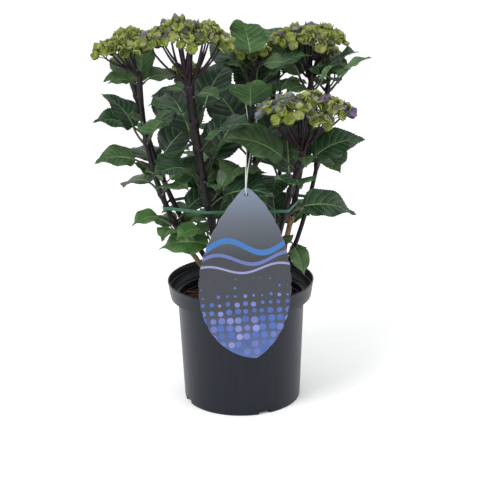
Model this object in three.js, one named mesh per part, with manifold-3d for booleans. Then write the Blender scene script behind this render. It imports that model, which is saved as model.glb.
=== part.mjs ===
// A young hydrangea in its nursery pot. Ten dark canes rise from the peat, pairs of broad
// leaves sit on collars round them, and flat heads of small green flowers top most of them.
// Millimetres, +Z up, origin at the centre of the pot's flat underside, front towards -Y.

import * as THREE from 'three';
import { mergeVertices } from 'three/addons/utils/BufferGeometryUtils.js';
import Module from 'manifold-3d';

const wasm = await Module();
wasm.setup();

// ---------------------------------------------------------------- driving dimensions

const GAP = 0.3;                 // clearance between pieces that meet
const FUSE_TOLERANCE = 0.12;     // slivers smaller than this are smoothed out of a fused body

// Pot: a thin tapered wall that steps out to a deep collar under the rim
const POT_HEIGHT = 182.8;
const RIM_RADIUS = 107.6;
const COLLAR_RADIUS = 103.7;     // outer, at the collar's lower edge
const COLLAR_DEPTH = 24.8;
const SHOULDER_RADIUS = 93.3;    // outer, just under the collar
const FOOT_RADIUS = 86.3;
const POT_WALL = 2.2;
const POT_FLOOR = 7.5;
const POT_SIDES = 32;
const DRAIN = { count: 4, first: -68, width: 18, height: 5.5, depth: 9 };

const SOIL_TOP = 148;

// Canes: foot on the peat, a point that bends them, tip, and radius at foot and tip
const CANE_SIDES = 7;
const FOOT_FLARE = 1.6;          // how much wider a cane is where it leaves the peat

// Leaves
const COLLAR_HEIGHT = 7;         // the swollen joint of a cane that carries a pair of leaves
const COLLAR_WALL = 4.7;
const COLLAR_CLEARANCE = 0.5;    // a little over the gap, because the cane bends inside it
const PETIOLE = 24;              // length of a leaf's stalk
const PETIOLE_RADIUS = 1.7;
const PETIOLE_RISE = 45;         // degrees above level where the stalk leaves the cane
const BLADE_DROOP = 50;          // how far a blade curves down between its base and its tip
const BLADE_WIDTH = 0.68;        // of its length
const BLADE_FOLD = 0.16;         // how far the margins stand above the midrib, of the half width
const BLADE_THICK = 1.9;
const BACK_CANES = 38;           // canes whose joint lies further back than this face the back
const FACE_OUT = 32;             // roll that turns a sideways blade's face to its side of the plant
const LOOSE_ROLL = 20;           // full range of the seeded roll about the midrib

// How the pairs follow each other up a cane, and the leaves that they would like to bear
const CROWN_MIDDLE = [0, 20];
const CROWN_FOOT = 250;          // height where the foliage starts
const PAIR_TURN = 90;            // each pair stands crosswise to the one below it
const SPACING_SHRINK = 0.94;     // each distance between pairs against the one below it
const BLADE_RISE = { lowest: 30, top: 72, outward: -12 };
const BLADE_LENGTH = { lowest: 72, longest: 104, top: 90, outward: -26 };

// How a leaf gives way to what is already in its place
const BLADE_CLEARANCE = 1;
const TURNS_ASIDE = [0, 14, -14, 28, -28, 42, -42];
const LIFTS = [0, 12, -12, 24, -24];
const GROWTHS = [1, 0.88, 0.76, 0.64, 0.52];

// Flower heads
const FLORET_RADIUS = 13;
const FLORET_CUP = 4;            // how far the sepals' tips stand above their middle
const FLORET_BACK = 2.4;         // how far the green base of a floret reaches below its middle
const PEDICEL_RADIUS = 1.1;
const HUB_DROP = 17;             // height of a floret above the point where its ray forks
const GOLDEN_ANGLE = 137.508;

const canes = [
  { name: 'far_left', foot: [-6, 15], bend: [-115, 20, 275], tip: [-150, 29, 480], radius: [4, 3.8] },
  { name: 'left', foot: [-11, -3], bend: [-138, -15, 284], tip: [-137, -10, 484], radius: [4, 4.2] },
  { name: 'centre_left', foot: [-12, -20], bend: [-50, -38, 300], tip: [-66, -40, 470], radius: [4.6, 6.2] },
  { name: 'centre', foot: [8, 2], bend: [10, 0, 330], tip: [24, 2, 500], radius: [4.5, 4] },
  { name: 'front_right', foot: [36, -16], bend: [50, -20, 250], tip: [88, -50, 378], radius: [4.6, 4.3] },
  { name: 'right', foot: [44, 8], bend: [88, 14, 290], tip: [105, 28, 463], radius: [4.6, 4] },
  { name: 'far_right', foot: [50, 28], bend: [116, 8, 290], tip: [133, 64, 468], radius: [3.6, 2.8] },
  { name: 'back_right', foot: [28, 34], bend: [78, 44, 300], tip: [52, 82, 452], radius: [3.6, 2.8] },
  { name: 'back', foot: [6, 38], bend: [34, 40, 300], tip: [20, 72, 440], radius: [3.6, 2.8] },
  { name: 'back_left', foot: [-14, 34], bend: [-50, 40, 290], tip: [-72, 84, 440], radius: [3.8, 3] },
];

// Pairs of leaves on each cane: height of the lowest, distance up to the next, how many there
// are, the compass turn of the lowest, and the size of the leaves against the plant's usual
const leafRuns = {
  far_left: { lowest: 336, spacing: 60, pairs: 3, turn: 120, size: 0.78 },
  left: { lowest: 275, spacing: 42, pairs: 4, turn: 25, size: 0.8 },
  centre_left: { lowest: 262, spacing: 45, pairs: 5, turn: 225, size: 0.9 },
  centre: { lowest: 340, spacing: 45, pairs: 5, turn: 255, size: 1 },
  front_right: { lowest: 248, spacing: 40, pairs: 4, turn: 275, size: 1 },
  right: { lowest: 380, spacing: 76, pairs: 2, turn: 50, size: 1.1 },
  far_right: { lowest: 345, spacing: 105, pairs: 2, turn: 285, size: 0.8 },
  back_right: { lowest: 256, spacing: 62, pairs: 4, turn: 20, size: 1 },
  back: { lowest: 345, spacing: 65, pairs: 2, turn: 150, size: 0.9 },
  back_left: { lowest: 262, spacing: 55, pairs: 4, turn: 180, size: 0.9 },
};

// Flower heads: middle, half widths, height of the top and of the sunk edge, florets, rays
const heads = [
  { cane: 'far_left', middle: [-150, 42], half: [28, 28], top: 552, dome: 8, florets: 6, rays: 3 },
  { cane: 'left', middle: [-158, -18], half: [34, 28], top: 549, dome: 8, florets: 7, rays: 3 },
  { cane: 'centre_left', middle: [-69, -42], half: [60, 46], top: 578, dome: 22, florets: 18, rays: 5 },
  { cane: 'centre', middle: [22, 22], half: [20, 20], top: 530, dome: 8, florets: 5, rays: 2 },
  { cane: 'front_right', middle: [92, -62], half: [64, 44], top: 478, dome: 22, florets: 17, rays: 5 },
  { cane: 'right', middle: [102, 28], half: [49, 42], top: 557, dome: 14, florets: 14, rays: 5 },
  { cane: 'far_right', middle: [126, 88], half: [28, 26], top: 512, dome: 10, florets: 6, rays: 3 },
  { cane: 'back_right', middle: [50, 98], half: [28, 26], top: 500, dome: 10, florets: 6, rays: 3 },
  { cane: 'back_left', middle: [-78, 102], half: [28, 26], top: 488, dome: 10, florets: 6, rays: 3 },
];

// Card on a loop: a pointed oval that hangs before the pot and rests on its rim
const CARD = { top: [9, -104.2, 351], bottom: [20, -111.2, 101], left: 75, right: 56, thick: 1.2 };
const CARD_HOLE = { radius: 2.6, below_top: 11 };
const LOOP_RADIUS = 0.7;
const LOOP_HEIGHT = 446;         // where the loop goes round the middle cane

// Soft band that holds the canes together
const BAND = { height: 296, width: 4.6, thick: 1.1, clear: 0.9 };
const bandOrder = ['far_left', 'left', 'centre_left', 'front_right', 'right', 'far_right', 'back_right',
  'back_left'];

// ---------------------------------------------------------------- colours

function finish(color, roughness, metalness = 0) {
  return new THREE.MeshStandardMaterial({ color, roughness, metalness });
}

const potPlastic = finish('#262a33', 0.38);
const peat = finish('#3a2620', 0.95);
const bark = finish('#33212c', 0.55);
const leafGreen = finish('#2c4a2c', 0.5);
const floretGreen = finish('#93a848', 0.6);
const cardPrint = finish('#56617c', 0.3);
const loopWhite = finish('#dfe0de', 0.5);
const bandGreen = finish('#3f8d72', 0.4);

// ---------------------------------------------------------------- working functions

const UP = new THREE.Vector3(0, 0, 1);

function radians(degrees) {
  return degrees * Math.PI / 180;
}

// An even spread of numbers from 0 to 1 that is the same on every run
function seeded(number) {
  const wave = Math.sin(number * 12.9898) * 43758.5453;
  return wave - Math.floor(wave);
}

// A closed body swept through numbered rings of points, drawn to a point at both ends
function sweep(sides, stations, place) {
  const geometry = new THREE.CylinderGeometry(0, 0, 1, sides, stations, true);
  const { position, uv } = geometry.attributes;
  const point = new THREE.Vector3();
  for (let index = 0; index < position.count; index += 1) {
    const corner = Math.round(uv.getX(index) * sides) % sides;
    place(Math.round(uv.getY(index) * stations), corner, point);
    position.setXYZ(index, point.x, point.y, point.z);
  }
  geometry.deleteAttribute('normal');
  geometry.deleteAttribute('uv');
  return mergeVertices(geometry);
}

// A closed ring swept round a loop of frames, each with a point and two directions across it
function ring(sides, frames, place) {
  const geometry = new THREE.TorusGeometry(1, 0.1, sides, frames.length);
  const { position, uv } = geometry.attributes;
  const point = new THREE.Vector3();
  for (let index = 0; index < position.count; index += 1) {
    const corner = Math.round(uv.getY(index) * sides) % sides;
    const frame = frames[Math.round(uv.getX(index) * frames.length) % frames.length];
    const [across, along] = place(corner);
    point.copy(frame.point).addScaledVector(frame.out, across).addScaledVector(frame.up, along);
    position.setXYZ(index, point.x, point.y, point.z);
  }
  geometry.deleteAttribute('normal');
  geometry.deleteAttribute('uv');
  return mergeVertices(geometry);
}

// A round limb with flat ends along a curve, its radius given by a function of the distance.
// A level foot is cut flat where it stands on the peat.
function limb(curve, radiusAt, sides, rings, levelFoot = false) {
  const frames = rings.map((share) => {
    const along = curve.getTangent(share);
    const out = new THREE.Vector3().crossVectors(along, UP).normalize();
    if (out.lengthSq() < 0.5) out.set(1, 0, 0);
    const upright = levelFoot && share === 0 ? UP : along;
    const across = new THREE.Vector3().crossVectors(out, upright);
    return { point: curve.getPoint(share), out, across, radius: radiusAt(share) };
  });
  const last = rings.length + 1;
  return sweep(sides, last, (station, corner, point) => {
    const frame = frames[Math.min(Math.max(station - 1, 0), rings.length - 1)];
    const radius = station === 0 || station === last ? 0 : frame.radius;
    const angle = 2 * Math.PI * corner / sides;
    point.copy(frame.point);
    point.addScaledVector(frame.out, radius * Math.sin(angle));
    point.addScaledVector(frame.across, radius * Math.cos(angle));
  });
}

function bow(from, control, to) {
  return new THREE.QuadraticBezierCurve3(from, control, to);
}

function solidOf(geometry) {
  const { position } = geometry.attributes;
  const corners = geometry.index.array;
  const kept = [];
  for (let face = 0; face < corners.length; face += 3) {
    const [a, b, c] = corners.slice(face, face + 3);
    if (a !== b && b !== c && c !== a) kept.push(a, b, c);
  }
  const vertProperties = new Float32Array(position.array);
  const triVerts = new Uint32Array(kept);
  return new wasm.Manifold(new wasm.Mesh({ numProp: 3, vertProperties, triVerts }));
}

function geometryOf(solid) {
  const mesh = solid.getMesh();
  const geometry = new THREE.BufferGeometry();
  geometry.setAttribute('position', new THREE.BufferAttribute(mesh.vertProperties, 3));
  geometry.setIndex(new THREE.BufferAttribute(mesh.triVerts, 1));
  return geometry;
}

function isClear(solid, others) {
  const { min, max } = solid.boundingBox();
  return others.every((other) => {
    const box = other.boundingBox();
    const apart = [0, 1, 2].some((axis) => box.min[axis] > max[axis] || min[axis] > box.max[axis]);
    return apart || solid.minGap(other, BLADE_CLEARANCE) >= BLADE_CLEARANCE;
  });
}

// One fused body: the largest piece of the union, with its sealed hollows filled
function fuse(geometries) {
  const whole = wasm.Manifold.union(geometries.map(solidOf)).simplify(FUSE_TOLERANCE);
  const pieces = whole.decompose();
  pieces.sort((one, other) => other.volume() - one.volume());
  return pieces[0];
}

// ---------------------------------------------------------------- pot and peat

function lathed(profile) {
  const points = profile.map(([radius, height]) => new THREE.Vector2(radius, height));
  const geometry = new THREE.LatheGeometry(points, POT_SIDES);
  geometry.rotateX(Math.PI / 2);
  geometry.deleteAttribute('normal');
  geometry.deleteAttribute('uv');
  return mergeVertices(geometry);
}

function wallRadius(height) {
  const share = height / (POT_HEIGHT - COLLAR_DEPTH);
  return FOOT_RADIUS + (SHOULDER_RADIUS - FOOT_RADIUS) * share;
}

function pot() {
  const ledge = POT_HEIGHT - COLLAR_DEPTH;
  let body = solidOf(lathed([
    [0, 0],
    [FOOT_RADIUS - 1.5, 0],
    [FOOT_RADIUS, 1.5],
    [SHOULDER_RADIUS, ledge],
    [COLLAR_RADIUS, ledge],
    [RIM_RADIUS - 0.6, POT_HEIGHT - 1.6],
    [RIM_RADIUS, POT_HEIGHT - 1],
    [RIM_RADIUS - 1, POT_HEIGHT],
    [RIM_RADIUS - POT_WALL, POT_HEIGHT],
    [COLLAR_RADIUS - POT_WALL, ledge + POT_WALL],
    [SHOULDER_RADIUS - POT_WALL, ledge + POT_WALL],
    [wallRadius(POT_FLOOR) - POT_WALL, POT_FLOOR],
    [0, POT_FLOOR],
  ]));
  for (let number = 0; number < DRAIN.count; number += 1) {
    const slot = new THREE.BoxGeometry(DRAIN.depth * 2, DRAIN.width, DRAIN.height * 2);
    slot.translate(FOOT_RADIUS, 0, 0);
    slot.rotateZ(radians(DRAIN.first + 360 * number / DRAIN.count));
    slot.deleteAttribute('normal');
    slot.deleteAttribute('uv');
    body = body.subtract(solidOf(mergeVertices(slot)));
  }
  return geometryOf(body);
}

function soil() {
  const low = POT_FLOOR + GAP;
  const narrowing = Math.cos(Math.PI / POT_SIDES);
  const radiusAt = (height) => (wallRadius(height) - POT_WALL - GAP) * narrowing;
  return lathed([
    [0, low],
    [radiusAt(low), low],
    [radiusAt(SOIL_TOP), SOIL_TOP],
    [0, SOIL_TOP],
  ]);
}

// ---------------------------------------------------------------- canes

const caneCurves = {};
for (const cane of canes) {
  const foot = new THREE.Vector3(cane.foot[0], cane.foot[1], SOIL_TOP + GAP);
  caneCurves[cane.name] = bow(foot, new THREE.Vector3(...cane.bend), new THREE.Vector3(...cane.tip));
}

function caneRadius(cane, share) {
  return THREE.MathUtils.lerp(cane.radius[0], cane.radius[1], share);
}

function caneBody(cane) {
  const rings = [0, 0.03, 0.16, 0.3, 0.44, 0.58, 0.72, 0.86, 1];
  const radiusAt = (share) => caneRadius(cane, share) * (share === 0 ? FOOT_FLARE : 1);
  return limb(caneCurves[cane.name], radiusAt, CANE_SIDES, rings, true);
}

// Where a cane passes a height: its point, direction and radius
function caneAt(cane, height) {
  const curve = caneCurves[cane.name];
  let low = 0;
  let high = 1;
  for (let halving = 0; halving < 30; halving += 1) {
    const middle = (low + high) / 2;
    if (curve.getPoint(middle).z < height) low = middle;
    else high = middle;
  }
  return { point: curve.getPoint(low), along: curve.getTangent(low), radius: caneRadius(cane, low) };
}

// ---------------------------------------------------------------- leaves

// A level-turning arc in an upright plane, its rise changing evenly from one end to the other
function arc(start, turn, fromRise, toRise, length) {
  const level = new THREE.Vector3(Math.cos(radians(turn)), Math.sin(radians(turn)), 0);
  const sweepAngle = radians(toRise - fromRise) || 1e-6;
  return (share) => {
    const rise = radians(fromRise) + sweepAngle * share;
    const bend = length / sweepAngle;
    const ahead = bend * (Math.sin(rise) - Math.sin(radians(fromRise)));
    const above = -bend * (Math.cos(rise) - Math.cos(radians(fromRise)));
    const point = start.clone().addScaledVector(level, ahead).addScaledVector(UP, above);
    const across = new THREE.Vector3().crossVectors(level, UP);
    const over = UP.clone().multiplyScalar(Math.cos(rise)).addScaledVector(level, -Math.sin(rise));
    return { point, across, over };
  };
}

// Half the blade's width along its length: broad below the middle, drawn out to the tip
function bladeShape(share) {
  const widest = 0.35;
  const outline = (at) => at ** 0.62 * (1 - at) ** 1.15;
  return outline(share) / outline(widest);
}

function leaf(joint, [turn, rise, length], roll) {
  const level = new THREE.Vector3(Math.cos(radians(turn)), Math.sin(radians(turn)), 0);
  const root = joint.point.clone().addScaledVector(level, joint.radius + 2.6);
  const stalk = arc(root, turn, PETIOLE_RISE, rise, PETIOLE);
  const blade = arc(stalk(1).point, turn, rise, rise - BLADE_DROOP, length);
  const halfWidth = BLADE_WIDTH * length / 2;
  const rings = [
    { ...stalk(0), wide: PETIOLE_RADIUS, thick: PETIOLE_RADIUS },
    { ...stalk(0.55), wide: PETIOLE_RADIUS, thick: PETIOLE_RADIUS },
  ];
  for (const share of [0.03, 0.2, 0.42, 0.66, 0.86]) {
    rings.push({ ...blade(share), wide: halfWidth * bladeShape(share), thick: BLADE_THICK / 2, blade: true });
  }
  const tip = blade(1).point;
  const last = rings.length + 1;
  const rolled = radians(roll);
  return sweep(4, last, (station, corner, point) => {
    const section = rings[Math.min(Math.max(station - 1, 0), rings.length - 1)];
    point.copy(station === last ? tip : section.point);
    if (station === 0 || station === last) return;
    const turned = section.blade ? rolled : 0;
    const side = section.across.clone().multiplyScalar(Math.cos(turned));
    side.addScaledVector(section.over, Math.sin(turned));
    const face = section.over.clone().multiplyScalar(Math.cos(turned));
    face.addScaledVector(section.across, -Math.sin(turned));
    if (corner % 2 === 0) {
      point.addScaledVector(face, corner === 0 ? section.thick : -section.thick);
      return;
    }
    const wide = section.wide * (corner === 1 ? 1 : -1);
    point.addScaledVector(side, wide);
    if (section.blade) point.addScaledVector(face, section.wide * BLADE_FOLD);
  });
}

// The swollen joint: a six-sided sleeve that stands clear of the cane inside it
function collar(joint) {
  const sides = 6;
  const inner = (joint.radius + COLLAR_CLEARANCE) / Math.cos(Math.PI / sides);
  const outer = joint.radius + COLLAR_WALL;
  const out = new THREE.Vector3().crossVectors(joint.along, new THREE.Vector3(0, 1, 0)).normalize();
  const across = new THREE.Vector3().crossVectors(joint.along, out);
  const frames = [];
  for (let number = 0; number < sides; number += 1) {
    const angle = 2 * Math.PI * number / sides;
    const outward = out.clone().multiplyScalar(Math.cos(angle)).addScaledVector(across, Math.sin(angle));
    frames.push({ point: joint.point, out: outward, up: joint.along });
  }
  const half = COLLAR_HEIGHT / 2;
  const corners = [[outer, -half], [outer, half], [inner, half], [inner, -half]];
  return ring(4, frames, (corner) => corners[corner]);
}

// Blades on the front canes turn their faces to the front, and on the back canes to the back
function bladeRoll(joint, turn, seed) {
  const front = joint.point.y < BACK_CANES ? 1 : -1;
  return -front * FACE_OUT * Math.cos(radians(turn)) + LOOSE_ROLL * (seeded(seed) - 0.5);
}

// How a leaf would like to grow: lower and shorter on the side away from the crown's middle,
// steeper towards the cane's tip, and longest half way up
function wish(joint, turn, share, size) {
  const outward = Math.atan2(joint.point.y - CROWN_MIDDLE[1], joint.point.x - CROWN_MIDDLE[0]);
  const facing = Math.cos(radians(turn) - outward);
  const middle = 4 * share * (1 - share);
  const ends = THREE.MathUtils.lerp(BLADE_LENGTH.lowest, BLADE_LENGTH.top, share);
  const length = THREE.MathUtils.lerp(ends, BLADE_LENGTH.longest, middle);
  return {
    rise: THREE.MathUtils.lerp(BLADE_RISE.lowest, BLADE_RISE.top, share ** 2) + BLADE_RISE.outward * facing,
    length: size * (length + BLADE_LENGTH.outward * Math.max(facing, 0)),
  };
}

// A leaf gives way to what is already there: it turns aside, lifts or sinks, or stays shorter,
// and keeps the first place that is clear. Where none is, the leaf has dropped.
function settledLeaf(joint, turn, share, size, seed, others) {
  const { rise, length } = wish(joint, turn, share, size);
  for (const growth of GROWTHS) {
    for (const aside of TURNS_ASIDE) {
      for (const lift of LIFTS) {
        const way = turn + aside;
        const body = leaf(joint, [way, rise + lift, length * growth], bladeRoll(joint, way, seed));
        if (isClear(solidOf(body), others)) return body;
      }
    }
  }
  return null;
}

function pairHeight(run, number) {
  return run.lowest + run.spacing * (1 - SPACING_SHRINK ** number) / (1 - SPACING_SHRINK);
}

function leafPair(cane, number, others) {
  const run = leafRuns[cane.name];
  const height = pairHeight(run, number);
  const joint = caneAt(cane, height);
  const share = Math.max(height - CROWN_FOOT, 0) / (cane.tip[2] - CROWN_FOOT);
  const bodies = [collar(joint)];
  for (const side of [0, 1]) {
    const turn = run.turn + PAIR_TURN * number + 180 * side;
    const body = settledLeaf(joint, turn, share, run.size, height + 500 * side, others);
    if (body) bodies.push(body);
  }
  return geometryOf(fuse(bodies));
}

// ---------------------------------------------------------------- flower heads

// Four cupped sepals on a thin stalk that starts at a hub
function floret(hub, middle, facing, turn) {
  const side = new THREE.Vector3(Math.cos(turn), Math.sin(turn), 0);
  side.addScaledVector(facing, -side.dot(facing)).normalize();
  const other = new THREE.Vector3().crossVectors(facing, side);
  const base = middle.clone().addScaledVector(facing, -FLORET_BACK);
  const rings = [
    { point: hub, reach: PEDICEL_RADIUS },
    { point: base, reach: PEDICEL_RADIUS },
    { point: middle.clone().addScaledVector(facing, FLORET_CUP), reach: FLORET_RADIUS },
  ];
  return sweep(4, 4, (station, corner, point) => {
    if (station === 4) {
      point.copy(middle);
      return;
    }
    const section = rings[Math.max(station - 1, 0)];
    const reach = station === 0 ? 0 : section.reach;
    const angle = Math.PI * corner / 2;
    point.copy(section.point);
    point.addScaledVector(side, reach * Math.cos(angle));
    point.addScaledVector(other, reach * Math.sin(angle));
  });
}

function arched(from, to, thick, thin) {
  const control = from.clone().lerp(to, 0.55);
  control.z = THREE.MathUtils.lerp(from.z, to.z, 0.4);
  const radiusAt = (share) => THREE.MathUtils.lerp(thick, thin, share);
  return limb(bow(from, control, to), radiusAt, 3, [0, 0.5, 1]);
}

function headFlorets(head, seed) {
  const florets = [];
  for (let number = 0; number < head.florets; number += 1) {
    const share = Math.sqrt((number + 0.5) / head.florets);
    const angle = radians(number * GOLDEN_ANGLE + seed * 50);
    const middle = new THREE.Vector3(
      head.middle[0] + head.half[0] * share * Math.cos(angle),
      head.middle[1] + head.half[1] * share * Math.sin(angle),
      head.top - FLORET_CUP - head.dome * share ** 2 - 4 * seeded(seed * 40 + number),
    );
    const facing = new THREE.Vector3(0.6 * share * Math.cos(angle), 0.6 * share * Math.sin(angle), 1);
    const sector = Math.floor(((angle / (2 * Math.PI)) % 1) * head.rays);
    florets.push({ middle, facing: facing.normalize(), sector, turn: 7 * seeded(seed * 90 + number) });
  }
  return florets;
}

function flowerHead(head, seed) {
  const cane = canes.find((one) => one.name === head.cane);
  const curve = caneCurves[cane.name];
  const along = curve.getTangent(1);
  const radius = cane.radius[1];
  const root = curve.getPoint(1).addScaledVector(along, GAP);
  const fork = root.clone().addScaledVector(along, 12);
  const bodies = [limb(new THREE.LineCurve3(root, fork), () => radius, 6, [0, 1])];
  const sunk = fork.clone().addScaledVector(along, -3);
  const florets = headFlorets(head, seed);
  for (let sector = 0; sector < head.rays; sector += 1) {
    const group = florets.filter((one) => one.sector === sector);
    if (group.length === 0) continue;
    const hub = new THREE.Vector3();
    group.forEach((one) => hub.addScaledVector(one.middle, 1 / group.length));
    hub.lerp(new THREE.Vector3(fork.x, fork.y, hub.z), 0.2);
    hub.z -= HUB_DROP;
    bodies.push(arched(sunk, hub, 2.2, 1.7));
    for (const one of group) {
      bodies.push(floret(hub, one.middle, one.facing, one.turn));
    }
  }
  return geometryOf(fuse(bodies));
}

// ---------------------------------------------------------------- card, loop and band

// The card's own directions: down its length, across it, and out of its face
const cardTop = new THREE.Vector3(...CARD.top);
const cardDown = new THREE.Vector3(...CARD.bottom).sub(cardTop);
const CARD_LENGTH = cardDown.length();
cardDown.normalize();
const cardFace = new THREE.Vector3(1, 0, 0).cross(cardDown).normalize();
const cardAcross = new THREE.Vector3().crossVectors(cardDown, cardFace).normalize();

function card() {
  const outline = new THREE.Shape();
  const waist = CARD_LENGTH * 0.55;
  outline.moveTo(0, 0);
  outline.bezierCurveTo(CARD.right * 0.35, -12, CARD.right, -waist * 0.45, CARD.right, -waist);
  outline.bezierCurveTo(CARD.right, -waist * 1.45, 25, -CARD_LENGTH + 12, 0, -CARD_LENGTH);
  outline.bezierCurveTo(-30, -CARD_LENGTH + 2, -CARD.left, -waist * 1.6, -CARD.left, -waist * 1.1);
  outline.bezierCurveTo(-CARD.left, -waist * 0.6, -CARD.left * 0.35, -22, 0, 0);
  const hole = new THREE.Path();
  hole.absarc(0, -CARD_HOLE.below_top, CARD_HOLE.radius, 0, 2 * Math.PI);
  outline.holes.push(hole);
  const geometry = new THREE.ExtrudeGeometry(outline, {
    depth: CARD.thick,
    bevelEnabled: false,
    curveSegments: 7,
  });
  geometry.translate(0, 0, -CARD.thick / 2);
  const lengthwise = cardDown.clone().negate();
  geometry.applyMatrix4(new THREE.Matrix4().makeBasis(cardAcross, lengthwise,
    new THREE.Vector3().crossVectors(cardAcross, lengthwise)).setPosition(cardTop));
  geometry.deleteAttribute('normal');
  geometry.deleteAttribute('uv');
  return mergeVertices(geometry);
}

// A thin loop through the card's hole, up and round the middle cane
function loop() {
  const joint = caneAt(canes.find((cane) => cane.name === 'centre'), LOOP_HEIGHT);
  const hole = cardTop.clone().addScaledVector(cardDown, CARD_HOLE.below_top);
  const clear = joint.radius + LOOP_RADIUS + 2.4;
  const places = [
    [hole.x, hole.y, hole.z - 1.2],
    [hole.x, hole.y - 3.5, hole.z + 3],
    [hole.x - 0.5, hole.y - 4, hole.z + 10],
    [hole.x, hole.y + 4, hole.z + 32],
    [joint.point.x - clear + 1, joint.point.y - 22, LOOP_HEIGHT - 22],
    [joint.point.x - clear, joint.point.y, LOOP_HEIGHT],
    [joint.point.x, joint.point.y + clear, LOOP_HEIGHT + 1],
    [joint.point.x + clear, joint.point.y, LOOP_HEIGHT],
    [joint.point.x + clear - 1, joint.point.y - 22, LOOP_HEIGHT - 22],
    [hole.x + 2, hole.y + 10, hole.z + 28],
    [hole.x, hole.y + 4, hole.z + 3],
  ];
  const curve = new THREE.CatmullRomCurve3(places.map((place) => new THREE.Vector3(...place)), true);
  const steps = 34;
  const turned = curve.computeFrenetFrames(steps, true);
  const frames = [];
  for (let number = 0; number < steps; number += 1) {
    frames.push({
      point: curve.getPointAt(number / steps),
      out: turned.binormals[number],
      up: turned.normals[number],
    });
  }
  const angles = [0, 1, 2, 3].map((corner) => radians(45 + 90 * corner));
  return ring(4, frames, (corner) => [
    LOOP_RADIUS * Math.cos(angles[corner]),
    LOOP_RADIUS * Math.sin(angles[corner]),
  ]);
}

// A flat band pulled tight round the outer canes, three stations at each of them
function band() {
  const stops = bandOrder.map((name) => caneAt(canes.find((cane) => cane.name === name), BAND.height));
  const frames = [];
  stops.forEach((stop, number) => {
    const before = stops[(number + stops.length - 1) % stops.length].point;
    const after = stops[(number + 1) % stops.length].point;
    const fromSide = new THREE.Vector3().subVectors(stop.point, before).setZ(0).normalize();
    const toSide = new THREE.Vector3().subVectors(after, stop.point).setZ(0).normalize();
    for (const share of [0, 0.5, 1]) {
      const heading = fromSide.clone().lerp(toSide, share).normalize();
      const out = new THREE.Vector3().crossVectors(heading, UP);
      const point = stop.point.clone().setZ(BAND.height);
      point.addScaledVector(out, stop.radius * 1.12 + BAND.thick / 2 + BAND.clear);
      frames.push({ point, out, up: UP });
    }
  });
  const corners = [[1, -1], [1, 1], [-1, 1], [-1, -1]];
  return ring(4, frames, (corner) => [
    corners[corner][0] * BAND.thick / 2,
    corners[corner][1] * BAND.width / 2,
  ]);
}

// ---------------------------------------------------------------- assembly

const plant = new THREE.Group();
const placed = [];

function place(name, geometry, material) {
  const mesh = new THREE.Mesh(geometry, material);
  mesh.name = name;
  plant.add(mesh);
  placed.push(solidOf(geometry));
}

place('pot', pot(), potPlastic);
place('soil', soil(), peat);
place('card', card(), cardPrint);
place('card_loop', loop(), loopWhite);
place('band', band(), bandGreen);
for (const cane of canes) place(`cane_${cane.name}`, caneBody(cane), bark);
heads.forEach((head, number) => {
  place(`flower_head_${head.cane}`, flowerHead(head, number + 1), floretGreen);
});
for (const cane of canes) {
  for (let number = 0; number < leafRuns[cane.name].pairs; number += 1) {
    place(`leaves_${cane.name}_${number + 1}`, leafPair(cane, number, placed), leafGreen);
  }
}

export default plant;
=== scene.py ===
import math

import bpy
import numpy as np
from mathutils import Matrix


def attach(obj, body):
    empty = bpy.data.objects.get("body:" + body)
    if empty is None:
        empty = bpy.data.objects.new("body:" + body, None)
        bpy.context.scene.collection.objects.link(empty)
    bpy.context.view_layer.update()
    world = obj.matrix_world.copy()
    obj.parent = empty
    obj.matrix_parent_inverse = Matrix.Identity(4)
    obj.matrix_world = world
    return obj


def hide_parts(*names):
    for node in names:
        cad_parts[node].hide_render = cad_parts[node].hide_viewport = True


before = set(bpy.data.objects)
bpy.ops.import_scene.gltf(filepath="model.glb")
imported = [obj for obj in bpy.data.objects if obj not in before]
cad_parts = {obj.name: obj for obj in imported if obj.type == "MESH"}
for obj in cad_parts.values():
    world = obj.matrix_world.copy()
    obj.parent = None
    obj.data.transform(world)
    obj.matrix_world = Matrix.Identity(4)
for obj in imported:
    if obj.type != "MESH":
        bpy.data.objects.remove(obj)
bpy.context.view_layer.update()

# -------------------------------- pot
# A nursery pot, injection moulded in black polypropylene: a thin tapered wall, a deep collar
# that steps out under the rim, and four drain notches in the edge of its foot.
# Lengths are in millimetres here and in every section, and become metres when a piece is made.

UP = np.array([0.0, 0.0, 1.0])
POT_HEIGHT = 182.8
RIM_RADIUS = 107.6
COLLAR_RADIUS = 103.7
COLLAR_DEPTH = 24.8
SHOULDER_RADIUS = 93.3
FOOT_RADIUS = 86.3
POT_WALL = 2.2
POT_FLOOR = 7.5
KINK_RADIUS = 105.6
KINK_HEIGHT = 170
BEAD_HEIGHT = 149
NOTCH_TURNS = (-68, 22, 112, 202)
NOTCH_WIDTH = 18
NOTCH_HEIGHT = 5.5
NOTCH_DEPTH = 9
NOTCH_HALF = math.asin(NOTCH_WIDTH / 2 / FOOT_RADIUS)

# Where a finish's two tones are pure, how far its roughness wanders, and how strong its relief is
TONE_POSITIONS = (0.32, 0.68)
WEAR = 0.07
RELIEF_STRENGTH = 0.6


def tone(code):
    """A colour given as six hex digits, as the shader takes it."""
    levels = [int(code[at:at + 2], 16) / 255 for at in (0, 2, 4)]
    linear = (one / 12.92 if one < 0.04045 else ((one + 0.055) / 1.055) ** 2.4 for one in levels)
    return (*linear, 1)


def noise(nodes, links, mapping, size, detail):
    """A cloudy pattern with lumps of the given size in millimetres."""
    pattern = nodes.new("ShaderNodeTexNoise")
    pattern.inputs["Scale"].default_value = 1000 / size
    pattern.inputs["Detail"].default_value = detail
    links.new(mapping.outputs["Vector"], pattern.inputs["Vector"])
    return pattern.outputs["Fac"]


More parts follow.
